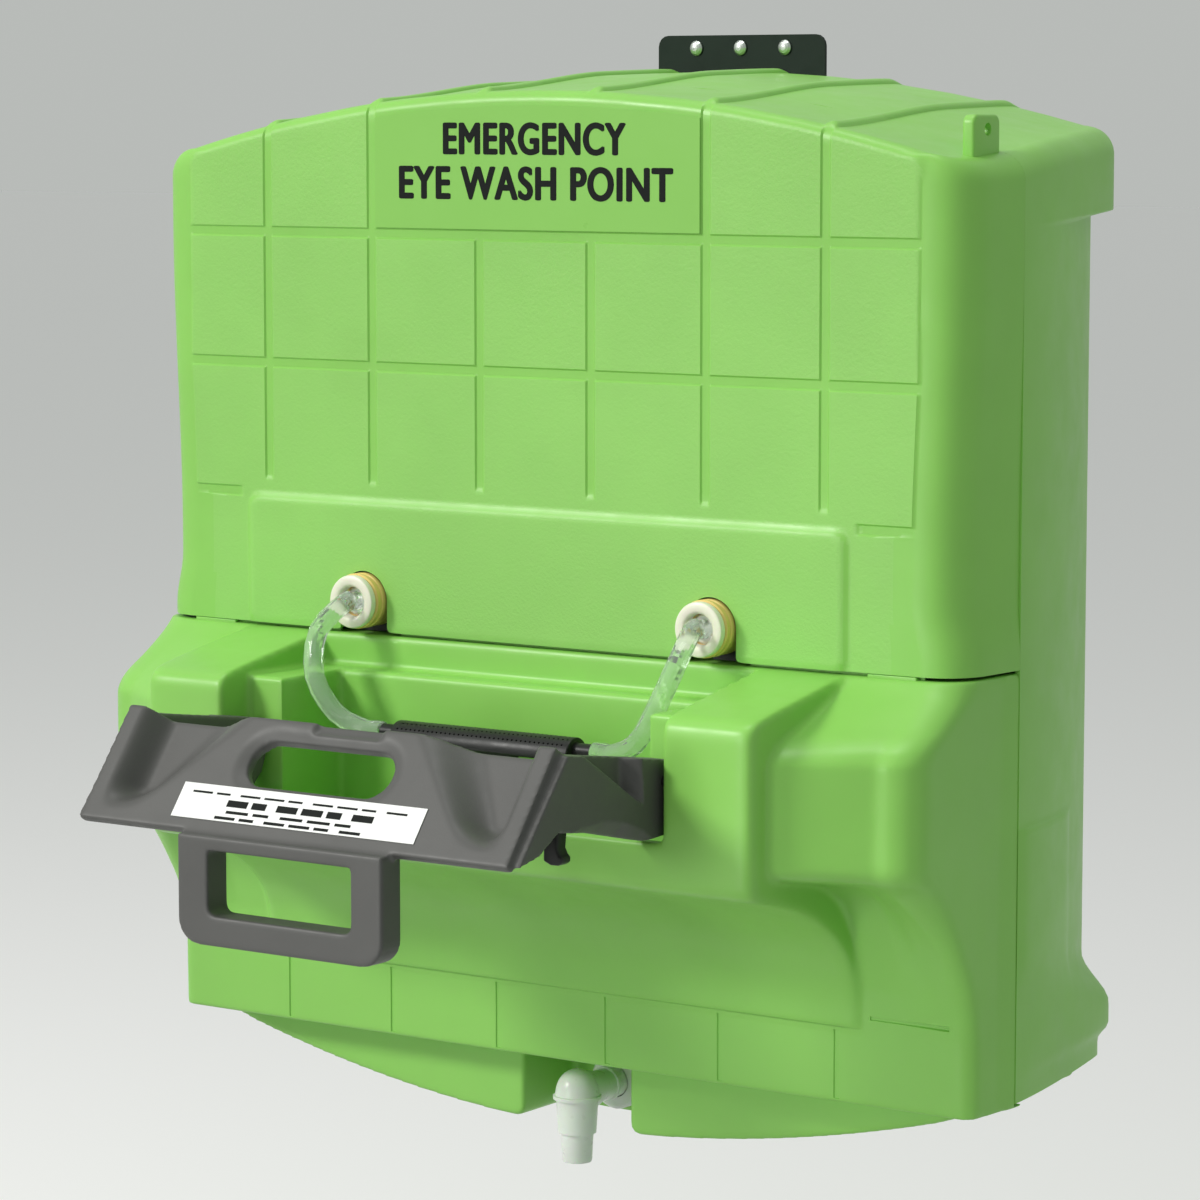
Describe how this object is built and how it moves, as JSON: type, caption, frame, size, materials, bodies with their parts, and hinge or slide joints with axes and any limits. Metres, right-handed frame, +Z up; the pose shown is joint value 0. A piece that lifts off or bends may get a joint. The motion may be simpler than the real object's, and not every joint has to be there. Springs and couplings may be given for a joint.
{
  "type": "eyewash station",
  "caption": "Wall-hung gravity-fed eyewash station with lift-off cover, basin, pull-down activation arm, spray bar and drain elbow.",
  "frame": {"origin": "centre of the wall bracket's back face, on the wall plane", "axes": "+Y into the wall, the front faces -Y, +Z up, +X to the right of somebody facing the station"},
  "size_m": [0.7362, 0.583, 0.8505],
  "materials": {
    "green_plastic": "soft satin moulded polyethylene",
    "green_label": "satin film",
    "grey_plastic": "fine matt moulded",
    "black_plastic": "satin moulded",
    "cream_plastic": "satin moulded",
    "yellow_plastic": "satin moulded",
    "milky_plastic": "translucent natural polyethylene",
    "clear_tube": "clear flexible tube",
    "bracket_paint": "dark powder coat",
    "screw_steel": "zinc plated",
    "white_label": "satin film"
  },
  "bodies": {
    "station": {"wall_bracket": "bracket_paint", "bracket_screw_1": "screw_steel", "bracket_screw_2": "screw_steel", "bracket_screw_3": "screw_steel", "rear_shell": "green_plastic", "lower_body": "green_plastic", "cartridge_shelf": "green_plastic", "saline_cartridge_left": "milky_plastic", "saline_cartridge_right": "milky_plastic", "port_collar_left": "yellow_plastic", "port_collar_right": "yellow_plastic", "port_cap_left": "cream_plastic", "port_cap_right": "cream_plastic", "port_plug_left": "milky_plastic", "port_plug_right": "milky_plastic", "port_clamp_left": "black_plastic", "port_clamp_right": "black_plastic", "supply_tube_left": "clear_tube", "supply_tube_right": "clear_tube", "nozzle_bar": "black_plastic", "nozzle_post": "black_plastic", "hinge_pin_left": "black_plastic", "hinge_pin_right": "black_plastic", "drain_nut": "milky_plastic"},
    "cover": {"front_cover": "green_plastic", "sign_panel": "green_label"},
    "arm": {"activation_arm": "grey_plastic", "arm_label": "white_label", "strap_barb_left": "black_plastic", "strap_barb_right": "black_plastic"},
    "elbow": {"drain_elbow": "milky_plastic"}
  },
  "joints": [
    {"name": "arm_hinge", "type": "hinge", "parent": "station", "child": "arm", "pos_m": [0, -0.3955, -0.4705], "axis": [-1, 0, 0], "range_deg": [0, 90]},
    {"name": "cover_lift", "type": "slide", "parent": "station", "child": "cover", "axis": [0, 0, 1], "range_m": [0, 0.42]},
    {"name": "drain_swivel", "type": "hinge", "parent": "station", "child": "elbow", "pos_m": [0, -0.2255, -0.748], "axis": [0, 1, 0], "range_deg": [-45, 45]}
  ]
}
